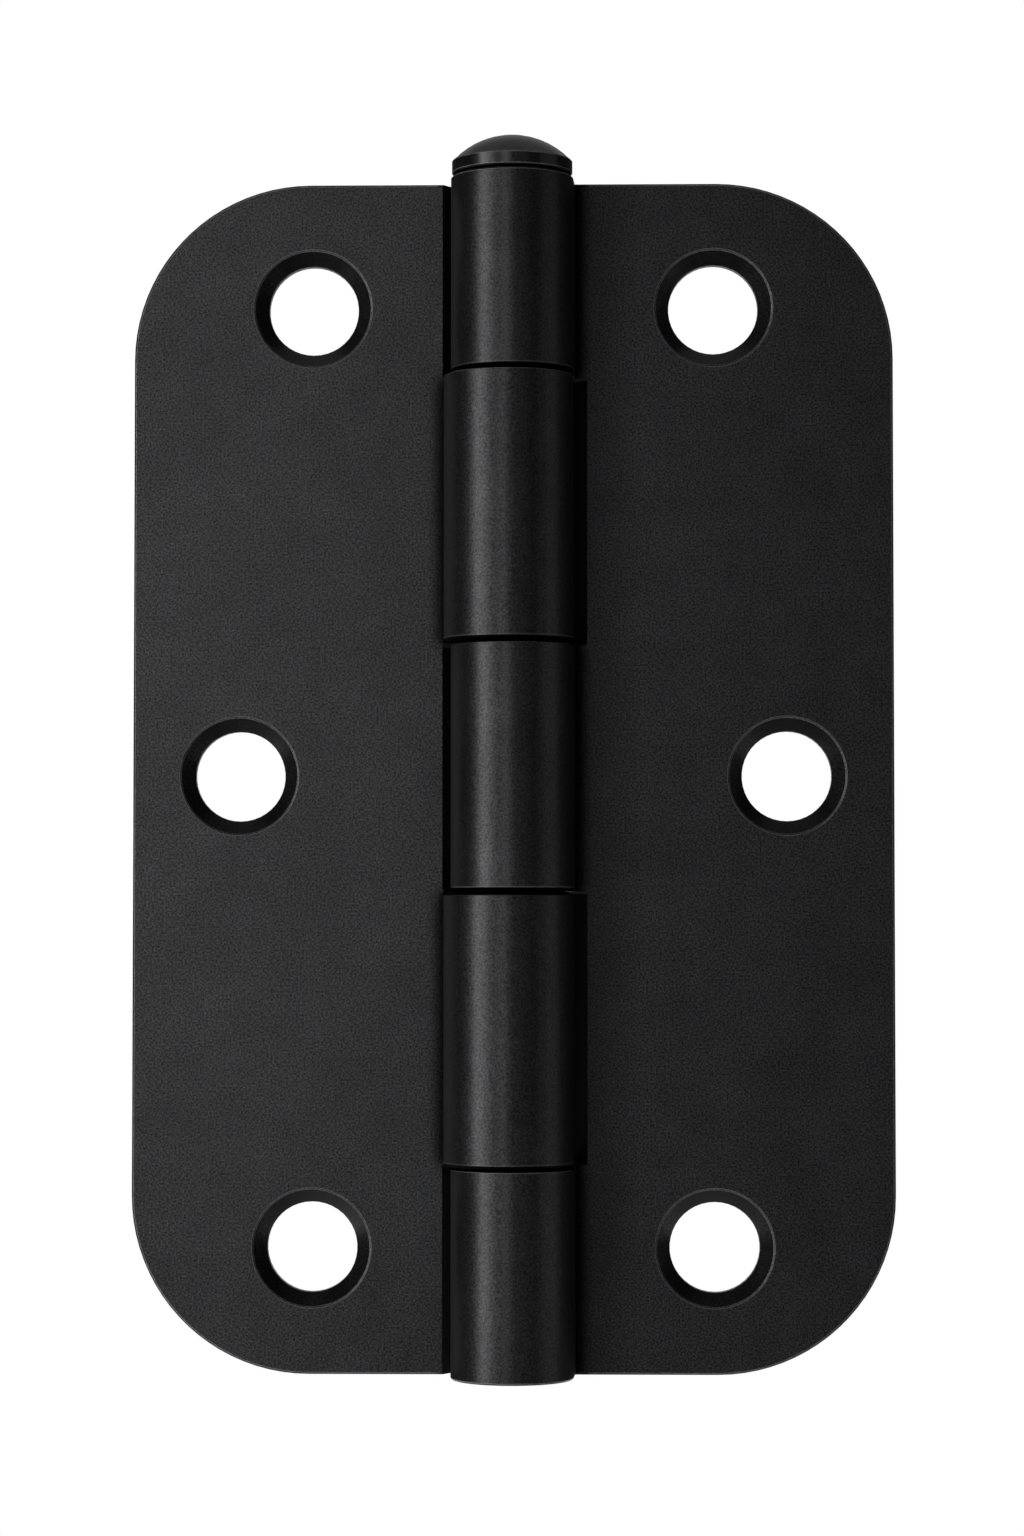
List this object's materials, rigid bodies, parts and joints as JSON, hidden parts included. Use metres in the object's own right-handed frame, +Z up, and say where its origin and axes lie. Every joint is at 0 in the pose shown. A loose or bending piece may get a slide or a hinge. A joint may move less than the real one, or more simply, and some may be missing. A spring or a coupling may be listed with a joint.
{
  "type": "door hinge",
  "caption": "Flat-opened black butt hinge: two curled leaves with rounded outer corners and countersunk holes, interlocked on a lift-out pin with a low domed head.",
  "frame": {"origin": "on the pin axis, level with the lower end of the barrel and of both leaves", "axes": "+Z up along the pin towards its head; +Y through the leaves from the countersunk front to the flat back; +X from the pin across the jamb leaf"},
  "size_m": [0.065, 0.0105, 0.1051],
  "materials": {
    "leaf_coat": "fine-textured matte black coat on steel sheet",
    "pin_coat": "fine-textured matte black coat on a steel pin"
  },
  "bodies": {
    "jamb_leaf": {"jamb_leaf": "leaf_coat"},
    "door_leaf": {"door_leaf": "leaf_coat"},
    "hinge_pin": {"hinge_pin": "pin_coat"}
  },
  "joints": [
    {"name": "door_swing", "type": "hinge", "parent": "jamb_leaf", "child": "door_leaf", "pos_m": [0, 0, 0.0508], "axis": [0, 0, 1], "range_deg": [-75, 180]},
    {"name": "pin_lift", "type": "slide", "parent": "jamb_leaf", "child": "hinge_pin", "axis": [0, 0, 1], "range_m": [0, 0.105]}
  ]
}
